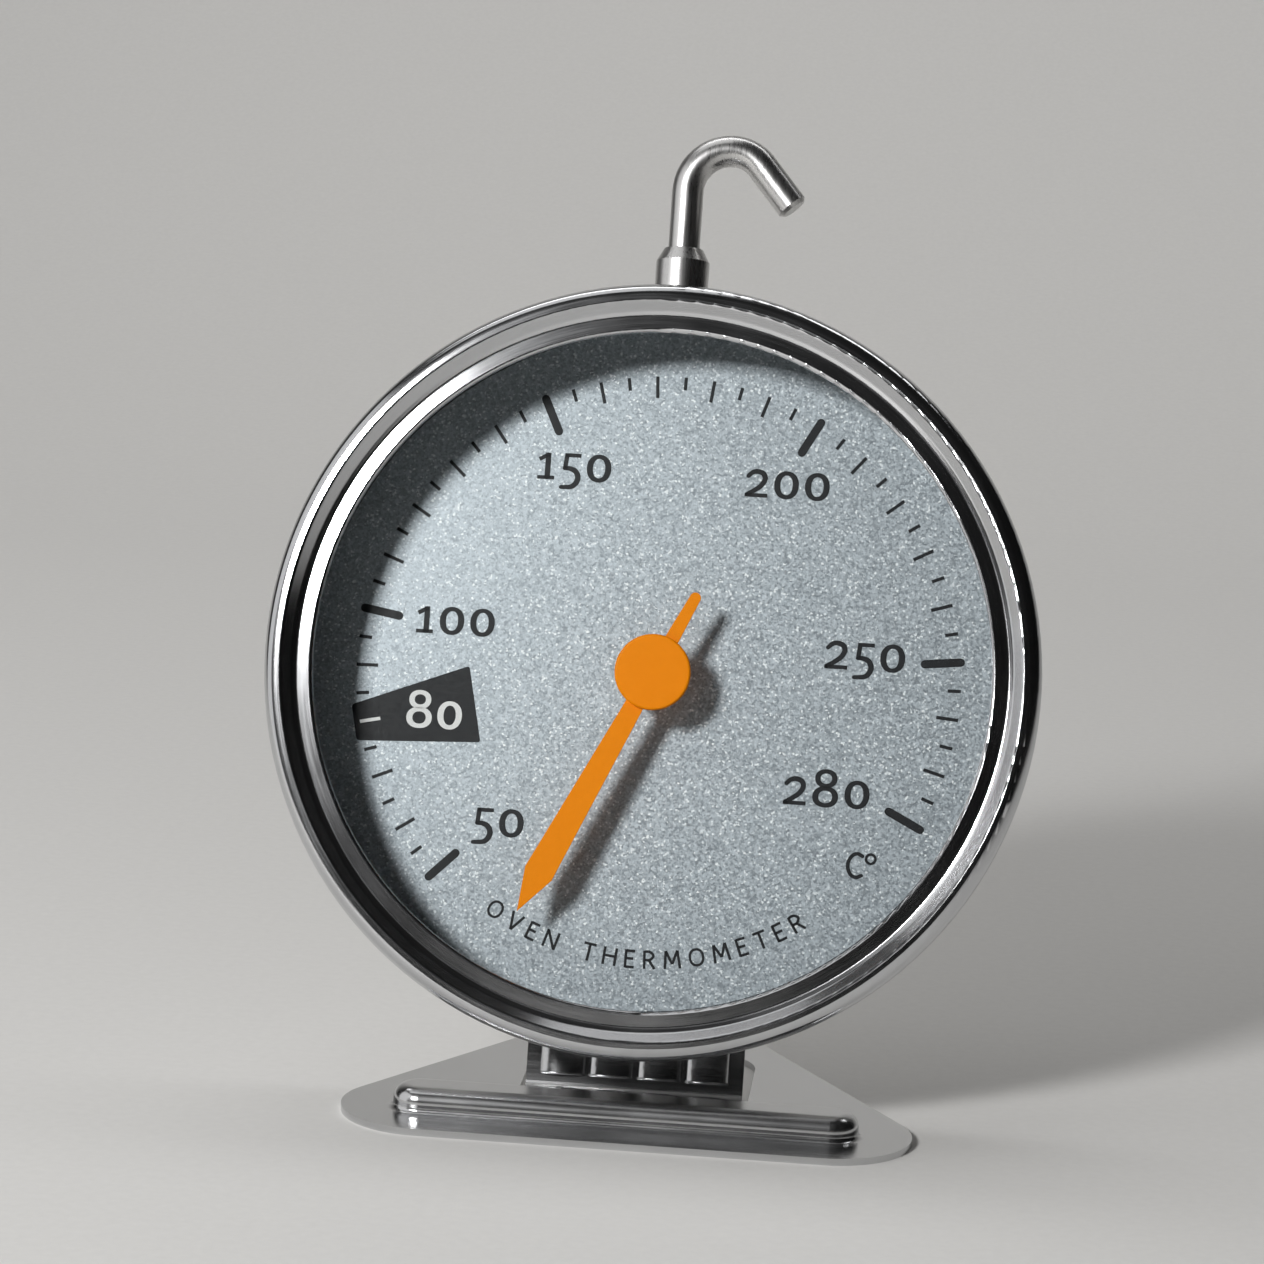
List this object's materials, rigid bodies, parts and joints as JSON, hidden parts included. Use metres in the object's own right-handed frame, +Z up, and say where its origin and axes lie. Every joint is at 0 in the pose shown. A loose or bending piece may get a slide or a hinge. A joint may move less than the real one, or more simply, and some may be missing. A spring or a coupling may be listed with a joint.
{
  "type": "oven thermometer",
  "caption": "Round dial oven thermometer with a glass front, an orange pointer, a leaning stamped stand and a swivelling hook on top.",
  "frame": {"origin": "on the underside of the stand's sheet, in its plane of symmetry, between the ridge and the foot of the upright", "axes": "+Z up, -Y the side the dial faces, +X the viewer's right; the case leans back 15 degrees"},
  "size_m": [0.077, 0.0452, 0.0969],
  "materials": {
    "stand_steel": "bright stamped stainless sheet",
    "rivet_steel": "bright rivet steel",
    "case_steel": "drawn stainless sheet, satin",
    "bezel_steel": "spun stainless ring, fine turned brushing",
    "lens_glass": "clear flat glass",
    "gasket_silicone": "matt heat-resistant silicone",
    "spacer_paint": "matt dark enamel",
    "dial_paint": "silver lacquer with fine metal flake",
    "bush_brass": "turned brass",
    "bridge_steel": "stamped steel strip",
    "screw_steel": "plated steel",
    "coil_bimetal": "rolled bimetal strip",
    "shaft_steel": "ground steel",
    "pointer_orange": "satin orange enamel",
    "hook_steel": "drawn stainless wire",
    "collar_steel": "turned stainless"
  },
  "bodies": {
    "case": {"stand": "stand_steel", "stand_rivets": "rivet_steel", "case_shell": "case_steel", "bezel_ring": "bezel_steel", "glass_lens": "lens_glass", "lens_gasket": "gasket_silicone", "spacer_ring": "spacer_paint", "dial_plate": "dial_paint", "dial_bush": "bush_brass", "movement_bridge": "bridge_steel", "bridge_pillars": "bush_brass", "bridge_screws": "screw_steel", "pivot_bush": "bush_brass", "coil_anchor": "shaft_steel", "bimetal_coil": "coil_bimetal", "hook_collar": "collar_steel"},
    "pointer": {"pointer_shaft": "shaft_steel", "coil_collet": "bush_brass", "pointer_blade": "pointer_orange", "pointer_cap": "pointer_orange"},
    "hook": {"hook": "hook_steel"}
  },
  "joints": [
    {"name": "pointer_turn", "type": "hinge", "parent": "case", "child": "pointer", "pos_m": [0, 0.01145, 0.0417], "axis": [0, 0.9659, -0.2588], "range_deg": [-15, 270], "stiffness_Nm_per_rad": 0.001},
    {"name": "hook_swivel", "type": "hinge", "parent": "case", "child": "hook", "pos_m": [0, 0.00449, 0.04357], "axis": [0, 0.2588, 0.9659], "continuous": true}
  ]
}
